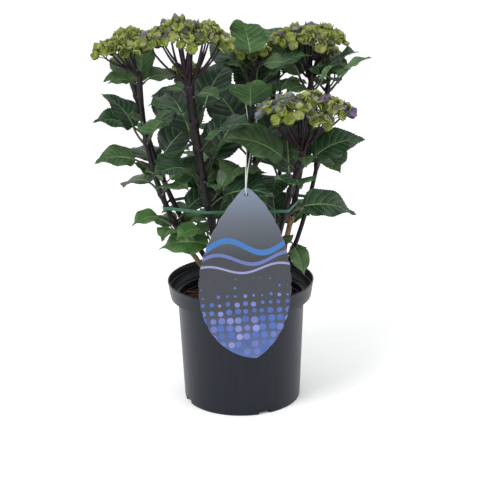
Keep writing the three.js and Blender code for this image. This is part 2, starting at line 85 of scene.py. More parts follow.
def surface(name, dark, light, patch, rough, grain, relief, shine=0.5, stretch=(1, 1, 1), **coat):
    """A finish that wanders between two tones in patches, over a fine grained relief."""
    material = bpy.data.materials.new(name)
    material.use_nodes = True
    nodes, links = material.node_tree.nodes, material.node_tree.links
    shader = nodes["Principled BSDF"]
    place = nodes.new("ShaderNodeTexCoord")
    mapping = nodes.new("ShaderNodeMapping")
    mapping.inputs["Scale"].default_value = stretch
    links.new(place.outputs["Object"], mapping.inputs["Vector"])
    patches = noise(nodes, links, mapping, patch, 4)
    ramp = nodes.new("ShaderNodeValToRGB")
    for element, position, code in zip(ramp.color_ramp.elements, TONE_POSITIONS, (dark, light)):
        element.position = position
        element.color = tone(code)
    links.new(patches, ramp.inputs["Fac"])
    links.new(ramp.outputs["Color"], shader.inputs["Base Color"])
    worn = nodes.new("ShaderNodeMapRange")
    worn.inputs["To Min"].default_value = rough - WEAR
    worn.inputs["To Max"].default_value = rough + WEAR
    links.new(patches, worn.inputs["Value"])
    links.new(worn.outputs["Result"], shader.inputs["Roughness"])
    bump = nodes.new("ShaderNodeBump")
    bump.inputs["Distance"].default_value = relief / 1000
    bump.inputs["Strength"].default_value = RELIEF_STRENGTH
    links.new(noise(nodes, links, mapping, grain, 3), bump.inputs["Height"])
    links.new(bump.outputs["Normal"], shader.inputs["Normal"])
    shader.inputs["Specular IOR Level"].default_value = shine
    for socket, value in coat.items():
        shader.inputs[socket.replace("_", " ").title()].default_value = value
    return material


def add_object(name, data):
    """An object with the given data, linked into the scene."""
    item = bpy.data.objects.new(name, data)
    bpy.context.collection.objects.link(item)
    return item


def new_heap():
    """Points and faces gathered for one piece, with the finish that each face takes."""
    return {"points": [], "faces": [], "paint": [], "count": 0}


def heap_grid(heap, rows, paint=0, around=True, caps=True, along=False):
    """Adds a grid of points, closed round its columns for a skin and open for a sheet."""
    rings, sides = rows.shape[:2]
    numbers = np.arange(rings * sides).reshape(rings, sides) + heap["count"]
    if along:
        numbers = np.vstack([numbers, numbers[:1]])
    if around:
        numbers = np.hstack([numbers, numbers[:, :1]])
    quads = np.stack([numbers[:-1, :-1], numbers[:-1, 1:], numbers[1:, 1:], numbers[1:, :-1]], -1)
    painted = np.broadcast_to(paint, quads.shape[:2])
    heap["faces"].extend(quads.reshape(-1, 4).tolist())
    heap["paint"].append(painted.reshape(-1))
    if around and caps and not along:
        heap["faces"].append(numbers[0, :-1][::-1].tolist())
        heap["faces"].append(numbers[-1, :-1].tolist())
        heap["paint"].append(np.array([painted[0, 0], painted[-1, 0]]))
    heap["points"].append(rows.reshape(-1, 3))
    heap["count"] += rings * sides


def make_piece(name, heap, finishes, nodes, sharp=60):
    """One object from a heap, smooth up to the given angle, standing for the frame's nodes."""
    mesh = bpy.data.meshes.new(name)
    mesh.from_pydata((np.vstack(heap["points"]) / 1000).tolist(), [], heap["faces"])
    for finish in finishes:
        mesh.materials.append(finish)
    mesh.polygons.foreach_set("material_index", np.concatenate(heap["paint"]).astype(np.int32))
    mesh.polygons.foreach_set("use_smooth", np.ones(len(mesh.polygons), bool))
    mesh.set_sharp_from_angle(angle=math.radians(sharp))
    mesh.update()
    piece = add_object(name, mesh)
    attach(piece, "root")
    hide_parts(*nodes)
    return piece


def wall_radius(height):
    """The pot's outer radius below its collar."""
    return FOOT_RADIUS + (SHOULDER_RADIUS - FOOT_RADIUS) * height / (POT_HEIGHT - COLLAR_DEPTH)


def near(radius, height, *offsets):
    """Points of the pot's profile, as offsets from one radius and height."""
    return [(radius + out, height + up) for out, up in offsets]


def pot_profile(notched):
    """Radius and height round the wall, from the middle of the foot up and over to the floor."""
    ledge = POT_HEIGHT - COLLAR_DEPTH
    back = FOOT_RADIUS - NOTCH_DEPTH
    foot = [(back, 0), (FOOT_RADIUS - 1.5, 0), (FOOT_RADIUS - 0.4, 0.4), (FOOT_RADIUS, 1.5)]
    if notched:
        foot = [(back, 0), *near(FOOT_RADIUS, NOTCH_HEIGHT, (-NOTCH_DEPTH, 0), (-5, 0), (-2, 0))]
    levels = (NOTCH_HEIGHT, 12, 40, 80, 120, 150, ledge - 1.6)
    outside = [(wall_radius(height), height) for height in levels]
    collar = [
        *near(SHOULDER_RADIUS, ledge, (0.6, -0.5), (2, 0)),
        *near(COLLAR_RADIUS, ledge, (-1, 0), (-0.2, 0.3), (0, 1.2)),
        (KINK_RADIUS, KINK_HEIGHT),
        *near(RIM_RADIUS, POT_HEIGHT, (-0.7, -3), (-0.2, -1.6), (0, -0.9), (-0.4, -0.2), (-1.1, 0)),
    ]
    inside = [
        *near(RIM_RADIUS, POT_HEIGHT, (-1.9, -0.2), (-POT_WALL, -0.9)),
        *near(KINK_RADIUS, KINK_HEIGHT, (-1.7, 2.4), (-2.4, 1.8), (-2.4, 1), (-2, 0.4)),
        *near(COLLAR_RADIUS, ledge, (-POT_WALL, 4), (-3.4, 2.5), (-4.6, POT_WALL)),
        *near(SHOULDER_RADIUS, ledge, (-1.2, POT_WALL), (-1.9, 1.8), (-POT_WALL, 0.6)),
        *near(SHOULDER_RADIUS, BEAD_HEIGHT, (-2.6, 1), (-3.4, 0.4), (-3.4, -0.4), (-2.8, -1)),
        (wall_radius(POT_FLOOR) - POT_WALL, POT_FLOOR), (0.5, POT_FLOOR),
    ]
    return np.array([(0.5, 0)] + foot + outside + collar + inside, float)


def in_notch(turn):
    """Whether a turn in radians lies within one of the foot's notches."""
    apart = (turn - np.radians(NOTCH_TURNS) + math.pi) % (2 * math.pi) - math.pi
    return np.abs(apart).min() < NOTCH_HALF


pot_turns = list(np.radians(np.arange(0, 360, 2.5) + 0.6))
for middle in np.radians(NOTCH_TURNS):
    for edge in (middle - NOTCH_HALF, middle + NOTCH_HALF):
        pot_turns += [edge - 0.0012, edge + 0.0012]
pot_rows = []
for turn in sorted(angle % (2 * math.pi) for angle in pot_turns):
    profile = pot_profile(in_notch(turn))
    heading = np.array([math.cos(turn), math.sin(turn), 0])
    pot_rows.append(profile[:, :1] * heading + profile[:, 1:] * UP)
pot_heap = new_heap()
heap_grid(pot_heap, np.array(pot_rows), along=True)
pot_plastic = surface("pot_plastic", "090d17", "0e1422", 5, 0.36, 1.1, 0.05, 0.26, (1, 1, 0.05),
                      coat_weight=0.05, coat_roughness=0.25)
make_piece("pot_shell", pot_heap, [pot_plastic], ["pot"], sharp=35)

# -------------------------------- peat
# Dark reddish brown potting peat, pressed in by hand: a lumpy top that lies a finger's width
# below the pot's rim, with crumbs and short fibres loose on it.

SOIL_TOP = 148
SOIL_RADIUS = 90.2
CRUMBS = 420
CRUMB_SIDES = 7
FIBRE_SHARE = 0.14


def seeded(number):
    """An even spread of numbers from 0 to 1 that is the same on every run."""
    wave = np.sin(np.asarray(number, float) * 12.9898) * 43758.5453
    return wave - np.floor(wave)


def lumps(points, size):
    """Smooth random values from -1 to 1 with lumps of the given size in millimetres."""
    place = np.asarray(points) / size
    corner = np.floor(place)
    part = place - corner
    part = part * part * (3 - 2 * part)
    total = 0
    for number in range(8):
        step = np.array([number & 1, number >> 1 & 1, number >> 2 & 1])
        near = corner + step
        wave = np.sin(near @ np.array([127.1, 311.7, 74.7])) * 43758.5453
        total = total + (wave - np.floor(wave)) * np.abs(1 - step - part).prod(-1)
    return 2 * total - 1


soil_heap = new_heap()
reach = SOIL_RADIUS * np.linspace(0.008, 1, 62)[:, None]
turn = np.linspace(0, 2 * math.pi, 150, endpoint=False)[None, :]
soil_places = (reach * np.cos(turn), reach * np.sin(turn), SOIL_TOP - 2.2)
soil_rows = np.stack(np.broadcast_arrays(*soil_places), -1)
clods = 2.0 * lumps(soil_rows, 17) + 1.5 * np.abs(lumps(soil_rows, 6.5))
clods = clods + 0.8 * lumps(soil_rows, 2.6)
soil_rows[..., 2] += clods * np.clip((SOIL_RADIUS - reach) / 4, 0.2, 1)
skirt = soil_rows[-1:].copy()
skirt[..., 2] = SOIL_TOP - 14
heap_grid(soil_heap, np.concatenate([soil_rows, skirt])[::-1])
crumb_turns = np.linspace(0, 2 * math.pi, CRUMB_SIDES, endpoint=False)
for number in range(CRUMBS):
    away = SOIL_RADIUS * 0.94 * math.sqrt(seeded(number + 0.3))
    bearing = 2 * math.pi * seeded(number * 1.7 + 9)
    size = 0.9 + 2.2 * seeded(number * 2.3 + 4) ** 3
    long_way = 1 + 5 * (seeded(number * 3.1) > 1 - FIBRE_SHARE)
    height = SOIL_TOP - 0.6 + 0.5 * size
    middle = np.array([away * math.cos(bearing), away * math.sin(bearing), height])
    lie = 2 * math.pi * seeded(number * 4.7)
    along = np.array([math.cos(lie), math.sin(lie), 0.25 * seeded(number + 50)])
    across = np.cross(UP, along)
    rings = []
    for share, wide in ((-1, 0.35), (-0.5, 0.95), (0.35, 1.0), (1, 0.4)):
        ring = middle + along * share * size * long_way
        uneven = 0.75 + 0.5 * seeded(number + np.arange(CRUMB_SIDES) * 3.3 + share)
        spread = across * np.cos(crumb_turns)[:, None] + UP * np.sin(crumb_turns)[:, None]
        rings.append(ring + size * wide * uneven[:, None] * spread)
    heap_grid(soil_heap, np.array(rings), 1 if long_way > 1 else 0)
peat_brown = surface("peat", "190d09", "402318", 5, 0.92, 0.8, 0.6, 0.25)
peat_fibre = surface("peat_fibre", "3d2419", "6b4630", 3, 0.85, 0.5, 0.2, 0.25)
make_piece("peat_top", soil_heap, [peat_brown, peat_fibre], ["soil"], sharp=80)

# -------------------------------- canes
# Ten canes of this year's wood, dark purple and faintly shiny, rough with small pores. Each
# swells where a pair of leaves sits, and three of them start from brown, ridged old wood.

FOOT_FLARE = 1.6
JOINT_SWELL = 1.9
JOINT_LENGTH = 5.5
CANE_SIDES = 18
CANE_STATIONS = 190
STUB_SIDES = 14
RIDGE_STRETCH = 0.3

# Foot on the peat, the point that bends it, tip, radius at foot and tip, and share of old wood
canes = {
    "far_left": ((-6, 15), (-115, 20, 275), (-150, 29, 480), (4, 3.8), 0.0),
    "left": ((-11, -3), (-138, -15, 284), (-137, -10, 484), (4, 4.2), 0.28),
    "centre_left": ((-12, -20), (-50, -38, 300), (-66, -40, 470), (4.6, 6.2), 0.0),
    "centre": ((8, 2), (10, 0, 330), (24, 2, 500), (4.5, 4), 0.0),
    "front_right": ((36, -16), (50, -20, 250), (88, -50, 378), (4.6, 4.3), 0.0),
    "right": ((44, 8), (88, 14, 290), (105, 28, 463), (4.6, 4), 0.4),
    "far_right": ((50, 28), (116, 8, 290), (133, 64, 468), (3.6, 2.8), 0.0),
    "back_right": ((28, 34), (78, 44, 300), (52, 82, 452), (3.6, 2.8), 0.0),
    "back": ((6, 38), (34, 40, 300), (20, 72, 440), (3.6, 2.8), 0.2),
    "back_left": ((-14, 34), (-50, 40, 290), (-72, 84, 440), (3.8, 3), 0.0),
}

# Pairs of leaves on each cane: height of the lowest, distance up to the next, how many there
# are, and the compass turn of the lowest. Each pair stands crosswise to the one below it.
SPACING_SHRINK = 0.94
PAIR_TURN = 90
leaf_runs = {
    "far_left": (336, 60, 3, 120),
    "left": (275, 42, 4, 25),
    "centre_left": (262, 45, 5, 225),
    "centre": (340, 45, 5, 255),
    "front_right": (248, 40, 4, 275),
    "right": (380, 76, 2, 50),
    "far_right": (345, 105, 2, 285),
    "back_right": (256, 62, 4, 20),
    "back": (345, 65, 2, 150),
    "back_left": (262, 55, 4, 180),
}


def unit(vector):
    """Each vector at length 1."""
    return vector / np.linalg.norm(vector, axis=-1, keepdims=True)


def bowed(start, control, end, shares):
    """Points and directions along a quadratic bow."""
    start, control, end = (np.array(one, float) for one in (start, control, end))
    shares = np.asarray(shares, float)[..., None]
    points = (1 - shares) ** 2 * start + 2 * shares * (1 - shares) * control + shares ** 2 * end
    return points, unit(2 * (1 - shares) * (control - start) + 2 * shares * (end - control))


def tube(points, radii, sides):
    """Rings of points round a line, turned as little as possible from one to the next."""
    points = np.asarray(points, float)
    radii = np.broadcast_to(np.asarray(radii, float).reshape(len(points), -1), (len(points), sides))
    along = unit(np.gradient(points, axis=0))
    out = np.cross(along[0], UP if abs(along[0][2]) < 0.9 else np.array([0.0, 1, 0]))
    angles = 2 * math.pi * np.arange(sides) / sides
    rings = []
    for number, heading in enumerate(along):
        out = unit(out - heading * (out @ heading))
        other = np.cross(heading, out)
        spread = np.cos(angles)[:, None] * out + np.sin(angles)[:, None] * other
        rings.append(points[number] + radii[number][:, None] * spread)
    return np.array(rings)


def heap_tube(heap, line, radii, sides, paint=0):
    """Adds a tube round a line, closed at both ends."""
    heap_grid(heap, tube(line, radii, sides), paint)


def cane_line(name, shares):
    """Points, directions and radii along a cane."""
    foot, bend, tip, radius = canes[name][:4]
    points, along = bowed((*foot, SOIL_TOP + 0.3), bend, tip, shares)
    return points, along, radius[0] + (radius[1] - radius[0]) * np.asarray(shares)


def cane_at(name, height):
    """Where a cane passes a height: its point, direction and radius."""
    shares = np.linspace(0, 1, 2001)
    points, along, radii = cane_line(name, shares)
    number = int(np.abs(points[:, 2] - height).argmin())
    return points[number], along[number], radii[number]


def cane_point(name, share):
    """Point, direction and radius at one share of a cane's length."""
    return tuple(one[0] for one in cane_line(name, np.array([share])))


def pair_heights(name):
    """Heights of a cane's leaf pairs, which draw closer towards its tip."""
    lowest, spacing, pairs = leaf_runs[name][:3]
    return [lowest + spacing * (1 - SPACING_SHRINK ** number) / (1 - SPACING_SHRINK)
            for number in range(pairs)]


cane_purple = surface("cane_purple", "0f080e", "1d1119", 9, 0.5, 0.9, 0.22, 0.28, (1, 1, 0.35),
                      coat_weight=0.04, coat_roughness=0.4)
cane_green = surface("cane_green", "2a2426", "46492f", 8, 0.45, 0.9, 0.15, stretch=(1, 1, 0.4))
old_wood = surface("old_wood", "54402f", "96795c", 6, 0.8, 0.7, 0.5, 0.3, (1, 1, RIDGE_STRETCH))
cut_wood = surface("cut_wood", "a08a68", "c7b48e", 3, 0.8, 0.5, 0.2, 0.3)
bark_finishes = [cane_purple, old_wood, cut_wood]
YOUNG_BARK, OLD_WOOD, CUT_WOOD = range(len(bark_finishes))


def add_stub(heap, name, old):
    """The sawn stub of an older cane, beside the place where the young cane starts."""
    base, heading, wide = cane_point(name, old - 0.02)
    lean = unit(heading + np.cross(heading, UP) * 0.55)
    line = base + lean * np.array([0, 5, 10, 12.5])[:, None]
    stub = tube(line, wide * np.array([1.0, 1.05, 1.0, 0.9]), STUB_SIDES)
    stub = stub + unit(stub - line[:, None]) * (0.4 * lumps(stub, 2.0))[..., None]
    heap_grid(heap, stub, OLD_WOOD, caps=False)
    cap_line = line[-1] + lean * np.array([0, 0.35])[:, None]
    heap_tube(heap, cap_line, wide * np.array([0.88, 0.8]), STUB_SIDES, CUT_WOOD)


shares = np.linspace(0, 1, CANE_STATIONS)
for name in canes:
    old = canes[name][4]
    points, along, radii = cane_line(name, shares)
    points[0, 2] = SOIL_TOP - 2.5
    radii = radii * (1 + (FOOT_FLARE - 1) * np.exp(-shares * 28))
    for height in pair_heights(name):
        apart = points[:, 2] - height
        radii = radii + JOINT_SWELL * np.exp(-(apart / JOINT_LENGTH) ** 2)
        radii = radii - 0.35 * np.exp(-((apart - 7) / 3) ** 2)
    rings = tube(points, radii, CANE_SIDES)
    outward = unit(rings - points[:, None])
    woody = (shares < old)[:, None]
    stretched = rings * np.array([1, 1, RIDGE_STRETCH])
    relief = 0.16 * lumps(stretched, 2.2) + 0.1 * np.clip(lumps(rings, 1.7) - 0.35, 0, 1) * 3
    relief = np.where(woody, 0.5 * lumps(stretched, 3.1) + 0.3 * lumps(stretched, 1.4) - 0.4, relief)
    rings = rings + outward * relief[..., None]
    ragged = old * (1 + 0.22 * lumps(stretched[:-1], 5))
    paint = np.where(shares[:-1, None] < ragged, OLD_WOOD, YOUNG_BARK)
    cane_heap = new_heap()
    heap_grid(cane_heap, rings, paint)
    if old > 0:
        add_stub(cane_heap, name, old)
    make_piece(f"bark_{name}", cane_heap, bark_finishes, [f"cane_{name}"])

# -------------------------------- leaves
# Broad dark green leaves in pairs, each on a short channelled stalk: a quilted blade folded
# along its pale midrib, with toothed margins and a drawn-out tip, paler and ribbed beneath.

PETIOLE = 24
PETIOLE_RADIUS = 1.7
PETIOLE_RISE = 45
BLADE_DROOP = 50
BLADE_WIDTH = 0.68
BLADE_FOLD = 0.16
BLADE_THICK = 0.7
BACK_CANES = 38
FACE_OUT = 32
LOOSE_ROLL = 20
TIP_TWIST = 0.6
SIDE_REACH = 60
SHOOT_SHARE = 0.3
SHOOT_RISE = 42
YOUNG_BELOW = 265
TOP_RISE = 22
TOP_LENGTH = (44, 34)
TEETH = 22
VEINS = 7
MIDRIB_SHARE = 0.032
YOUNG_LENGTH = 50
YOUNG_SHOOT = 30
TIP_SHARE = 0.985
TIP_STALK = 0.4
SHOOT_STALK = 0.3

# Teeth, quilting, waves of the margin and fine puckers, as shares of a blade's length
TOOTH_SHARE = 0.02
QUILT_SHARE = 0.013
WAVE_SHARE = 0.032
PUCKER_SHARE = 0.005

# Places along a blade crowd towards its base at the midrib, and towards its tip at the margin
MIDRIB_POWER = 1.35
MARGIN_POWER = 0.7
leaf_columns = np.array([0, MIDRIB_SHARE, 0.13, 0.27, 0.42, 0.58, 0.74, 0.88, 1])
leaf_columns = np.concatenate([-leaf_columns[:0:-1], leaf_columns])

# Rows run out from the midrib to the margin along the veins, with a pair for each vein
VEIN_HALF = 0.0052
VEIN_CLEAR = 0.011
vein_rows = ((np.arange(VEINS) + 0.45) / (VEINS + 1.1)) ** (1 / MIDRIB_POWER)
tooth_rows = (np.arange(2 * TEETH + 1) / (2 * TEETH)) ** (1 / MARGIN_POWER)
leaf_rows = [row for row in tooth_rows if np.abs(vein_rows - row).min() > VEIN_CLEAR]
leaf_rows = np.array(sorted(leaf_rows + list(vein_rows - VEIN_HALF) + list(vein_rows + VEIN_HALF)))
in_vein = np.abs((leaf_rows[:-1] + leaf_rows[1:])[:, None] / 2 - vein_rows).min(1) < VEIN_HALF / 2


def compass(turn):
    """The level direction at a turn in degrees."""
    return np.array([math.cos(math.radians(turn)), math.sin(math.radians(turn)), 0])


def arc_frames(start, turn, rise_from, rise_to, length, shares):
    """Points on an arc in an upright plane, with the directions across it and over it."""
    heading = compass(turn)
    swing = math.radians(rise_to - rise_from) or 1e-6
    rises = math.radians(rise_from) + swing * np.asarray(shares, float)
    bend = length / swing
    ahead = bend * (np.sin(rises) - math.sin(math.radians(rise_from)))
    above = -bend * (np.cos(rises) - math.cos(math.radians(rise_from)))
    points = start + ahead[..., None] * heading + above[..., None] * UP
    over = np.cos(rises)[..., None] * UP - np.sin(rises)[..., None] * heading
    return points, np.cross(heading, UP), over


def blade_shape(share):
    """Half the blade's width along its length: broad below the middle, drawn out to the tip."""
    share = np.clip(share, 0, 1)
    drawn_out = 1 - 0.38 * np.exp(-((share - 0.88) / 0.09) ** 2)
    return drawn_out * share ** 0.62 * (1 - share) ** 1.15 / (0.35 ** 0.62 * 0.65 ** 1.15)


UPPER, LOWER, ON_VEIN, ON_RIB = range(4)


def leaf_blade(start, turn, rise, length, roll, seed):
    """The closed skin of one blade, and which of its faces are midrib, vein or underside."""
    rows = leaf_rows[:, None]
    wide = np.abs(leaf_columns)[None, :]
    margin = rows ** MARGIN_POWER
    inner = rows ** MIDRIB_POWER
    share = inner + (margin - inner) * wide ** 1.3
    half = np.maximum(BLADE_WIDTH * length / 2 * blade_shape(margin), 0.4)
    saw = (margin * TEETH) % 1
    fade = np.clip(np.minimum(margin / 0.1, (1 - margin) / 0.07), 0, 1)
    teeth = length * TOOTH_SHARE * (np.where(saw < 0.62, saw / 0.62, (1 - saw) / 0.38) - 0.45) * fade
    side_way = half * wide + teeth * wide ** 5
    between = np.interp(rows, np.concatenate([[0], vein_rows, [1]]), np.arange(VEINS + 2)) % 1
    pillow = np.sin(math.pi * between) * np.sin(math.pi * wide).clip(0)
    quilt = length * QUILT_SHARE * pillow ** 0.6
    quilt = quilt * np.clip(margin * 4, 0, 1) * np.clip((1 - rows) * 4, 0, 1)
    phase = 2 * math.pi * (2.3 * share + seeded(seed)) + 2 * np.sign(leaf_columns)
    wave = length * WAVE_SHARE * wide ** 2 * np.sin(phase)
    droop = rise - BLADE_DROOP
    points, across, over = arc_frames(start, turn, rise, droop, length, share)
    rolled = (roll + TIP_TWIST * (seeded(seed * 1.9) - 0.5) * share)[..., None]
    side = across * np.cos(rolled) + over * np.sin(rolled)
    face = over * np.cos(rolled) - across * np.sin(rolled)
    sideways = side_way * np.sign(leaf_columns)
    spots = np.stack([share * 60, sideways * 60 / length, 0 * share + seed], -1)
    pucker = length * PUCKER_SHARE * lumps(spots, 4.5)
    height = BLADE_FOLD * half * wide + quilt + wave * fade + pucker * np.sin(math.pi * wide) ** 0.5
    body = BLADE_THICK / 2 * (1 - 0.75 * wide ** 4)
    on_midrib = wide < 0.04
    by_vein = (np.abs(rows - vein_rows).min(1) < 0.006)[:, None]
    rib = on_midrib * (1.5 * (1 - share) + 0.3) + by_vein * 0.3
    dent = on_midrib * 0.25
    top = points + sideways[..., None] * side + (height + body - dent)[..., None] * face
    below = points + sideways[..., None] * side + (height - body - rib)[..., None] * face
    skin = np.concatenate([top, below[:, ::-1]], 1)
    columns = len(leaf_columns)
    kinds = np.full((len(leaf_rows) - 1, 2 * columns), UPPER)
    kinds[:, columns:] = LOWER
    middle = columns // 2
    kinds[in_vein, 1:columns - 2] = ON_VEIN
    kinds[:, middle - 1:middle + 1] = ON_RIB
    kinds[:, columns + middle - 1:columns + middle + 1] = ON_RIB
    kinds[in_vein, columns + 1:2 * columns - 2] = ON_RIB
    return skin, kinds


def leaf_stalk(joint, turn, rise, scale=1.0):
    """A leaf's stalk, clasping the cane with a broad base, and where its blade starts."""
    point, _, radius = joint
    heading = compass(turn)
    root = point + heading * (radius + 2.6)
    shares = np.linspace(0, 1, 9)
    line = arc_frames(root, turn, PETIOLE_RISE, rise, PETIOLE * scale, shares)[0]
    clasp = point + heading * (radius * 0.4) - UP * 1.2
    line = np.vstack([clasp, (clasp + root) / 2 - UP * 0.5, line])
    radii = np.concatenate([[3.1, 2.8, 2.3, 2.0], np.full(7, PETIOLE_RADIUS)])
    radii = radii * (0.55 + 0.45 * scale)
    channel = np.ones((len(line), 10))
    channel[2:, 2:4] = 0.72
    return tube(line, radii[:, None] * channel, 10), line[-1]


def grown_blade(node, joint, turn):
    """Turn, rise and length of the blade that a CAD node bears on one side, from its tip."""
    corners = np.array([corner.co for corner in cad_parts[node].data.vertices]) * 1000
    apart = corners - joint[0]
    swing = np.degrees(np.arctan2(apart[:, 1], apart[:, 0])) - turn
    away = np.linalg.norm(apart, axis=1) * (np.abs((swing + 180) % 360 - 180) < SIDE_REACH)
    if away.max() < PETIOLE * 1.5:
        return None
    tip = corners[away.argmax()]
    turn = math.degrees(math.atan2(tip[1] - joint[0][1], tip[0] - joint[0][0]))
    rise = BLADE_DROOP / 2
    for _ in range(30):
        reach = tip - leaf_stalk(joint, turn, rise)[1]
        rise = math.degrees(math.atan2(reach[2], math.hypot(reach[0], reach[1]))) + BLADE_DROOP / 2
    half = math.radians(BLADE_DROOP / 2)
    return turn, rise, float(np.linalg.norm(reach)) * half / math.sin(half)


# Finishes of the leaves: two tones, size of the patches, roughness, grain, relief and shine
DEEP, DARK, MID, YOUNG, UNDERSIDE, VEIN, RIB = range(7)
leaf_tones = {
    "leaf_deep": ("14291b", "1d3723", 16, 0.44, 0.9, 0.16, 0.45),
    "leaf_dark": ("1a311c", "264226", 16, 0.46, 0.9, 0.16, 0.45),
    "leaf_mid": ("2c4224", "3d5630", 16, 0.48, 0.9, 0.16, 0.45),
    "leaf_young": ("35552b", "486a35", 14, 0.46, 0.9, 0.14, 0.45),
    "leaf_underside": ("40603a", "557549", 14, 0.62, 0.8, 0.14, 0.3),
    "leaf_vein": ("3f6136", "557746", 10, 0.5, 0.8, 0.08, 0.35),
    "leaf_rib": ("6b8a58", "83a06c", 10, 0.55, 0.8, 0.08, 0.3),
}
leaf_finishes = [surface(name, *tones) for name, tones in leaf_tones.items()]


def facing_roll(turn, front):
    """The roll in degrees that turns a leaf's face out, to the front or the back."""
    return -front * FACE_OUT * math.cos(math.radians(turn))


def add_leaf(blades, stalks, joint, turn, rise, length, roll, green, seed, scale=1.0):
    """One leaf on its stalk, its upper side in one of the greens."""
    stalk, start = leaf_stalk(joint, turn, rise, scale)
    skin, kinds = leaf_blade(start, turn, rise, length, math.radians(roll), seed)
    heap_grid(blades, skin, np.choose(kinds, [green, UNDERSIDE, VEIN, RIB]))
    heap_grid(stalks, stalk)


# Young shoots low on some canes: height, compass turn, rise of their leaves, and length
low_shoots = {
    "left": ((240, 195, 8, 90), (256, 20, 8, 62)),
    "far_left": ((250, 215, 8, 58),),
    "centre_left": ((216, 246, 8, 132), (236, 160, 8, 74), (282, 36, 52, 138)),
    "right": ((204, 12, -28, 84), (262, 10, 8, 60)),
    "back_left": ((240, 150, 8, 70), (230, 60, 20, 84)),
    "back_right": ((226, 60, 20, 84),),
}


def add_shoot(blades, stalks, joint, turn, rise, length, front, seed):
    """A short side shoot from the crook of a leaf, with a young pair at its tip."""
    heading = compass(turn)
    start = joint[0] + heading * joint[2] * 0.5 + UP * 4
    tip = start + heading * length * 0.16 + UP * length * 0.2
    line = bowed(start, start + heading * length * 0.12 + UP * 3, tip, np.linspace(0, 1, 7))[0]
    heap_tube(stalks, line, np.linspace(1.7, 1.1, 7), 8)
    for number, swing in enumerate((-62, 58)):
        small = length * (0.42 + 0.14 * seeded(seed * 2.1 + number))
        green = YOUNG if small < YOUNG_SHOOT or joint[0][2] < YOUNG_BELOW else MID
        way = turn + swing + 30 * (seeded(seed * 4.3 + number) - 0.5)
        lift = rise + 25 * seeded(seed * 5.9 + number)
        add_leaf(blades, stalks, (tip, UP, 0.0), way, lift, small, facing_roll(way, front), green,
                 seed + 31 * number, SHOOT_STALK)


leaf_sides = {
    "left": ("far_left", "left", "back_left"), "middle": ("centre_left", "centre", "back"),
    "right": ("front_right", "right", "far_right", "back_right"),
}


def add_pair(blades, stalks, name, number, node):
    """The pair of leaves that a CAD node bears, some of them with a shoot in their crook."""
    joint = cane_at(name, pair_heights(name)[number])
    front = 1 if joint[0][1] < BACK_CANES else -1
    for side_number in range(2):
        seed = pair_heights(name)[number] + 500 * side_number
        grown = grown_blade(node, joint, leaf_runs[name][3] + PAIR_TURN * number + 180 * side_number)
        if grown is None:
            continue
        turn, rise, length = grown
        roll = facing_roll(turn, front) + LOOSE_ROLL * (seeded(seed) - 0.5)
        green = YOUNG if length <= YOUNG_LENGTH else (DEEP, DARK, MID)[int(3 * seeded(seed * 7.7))]
        add_leaf(blades, stalks, joint, turn, rise, length, roll, green, seed)
        if seeded(seed * 3.7) < SHOOT_SHARE:
            add_shoot(blades, stalks, joint, turn, SHOOT_RISE, length, front, seed)


def add_top_pair(blades, stalks, name):
    """The small pair of leaves under a cane's flower head, crosswise to the pair below."""
    joint = cane_point(name, TIP_SHARE)
    front = 1 if joint[0][1] < BACK_CANES else -1
    for side_number, length in enumerate(TOP_LENGTH):
        turn = leaf_runs[name][3] + PAIR_TURN * leaf_runs[name][2] + 180 * side_number
        add_leaf(blades, stalks, joint, turn, TOP_RISE, length, facing_roll(turn, front), MID,
                 40 * len(name) + side_number, TIP_STALK)


for side_name, members in leaf_sides.items():
    blades, stalks = new_heap(), new_heap()
    nodes = []
    for name in members:
        for number in range(len(pair_heights(name))):
            nodes.append(f"leaves_{name}_{number + 1}")
            add_pair(blades, stalks, name, number, nodes[-1])
        for height, turn, rise, length in low_shoots.get(name, ()):
            add_shoot(blades, stalks, cane_at(name, height), turn, rise, length, 1, height + turn)
        add_top_pair(blades, stalks, name)
    make_piece(f"leaf_blades_{side_name}", blades, leaf_finishes, nodes, sharp=75)
    make_piece(f"leaf_stalks_{side_name}", stalks, [cane_green], nodes)

# -------------------------------- flower heads
# Flat heads of blossom not yet coloured: a cane's tip forks into purple rays, which fork again
# into thin stalks, and every stalk ends in a lime green flower of four or five cupped sepals.

FLORET_CUP = 4
HUB_DROP = 17
GOLDEN_ANGLE = 137.508
SMALL_FLORET = 10.6
SEPAL_RISE = 7
FACING_OUT = 0.65
FORK_ABOVE = 12.3
FORK_SUNK = 9
CLUSTER_STALK = 15
RAY_RADIUS = 2.4
BRANCH_RADIUS = 2.0
BRANCH_TIP = 1.2
CLUSTER = 5
CLUSTER_SPREAD = 8.6
TINGED_TIPS = 0.22

# Middle, half widths, height of the top, sink of the edge, florets, rays and share tinged purple
heads = {
    "far_left": ((-150, 42), (28, 28), 552, 8, 6, 3, 0.0),
    "left": ((-158, -18), (34, 28), 549, 8, 7, 3, 0.0),
    "centre_left": ((-69, -42), (60, 46), 578, 22, 18, 5, 0.04),
    "centre": ((22, 22), (20, 20), 530, 8, 5, 2, 0.0),
    "front_right": ((92, -62), (64, 44), 478, 22, 17, 5, 0.15),
    "right": ((102, 28), (49, 42), 557, 14, 14, 5, 0.06),
    "far_right": ((126, 88), (28, 26), 512, 10, 6, 3, 0.05),
    "back_right": ((50, 98), (28, 26), 500, 10, 6, 3, 0.05),
    "back_left": ((-78, 102), (28, 26), 488, 10, 6, 3, 0.05),
}

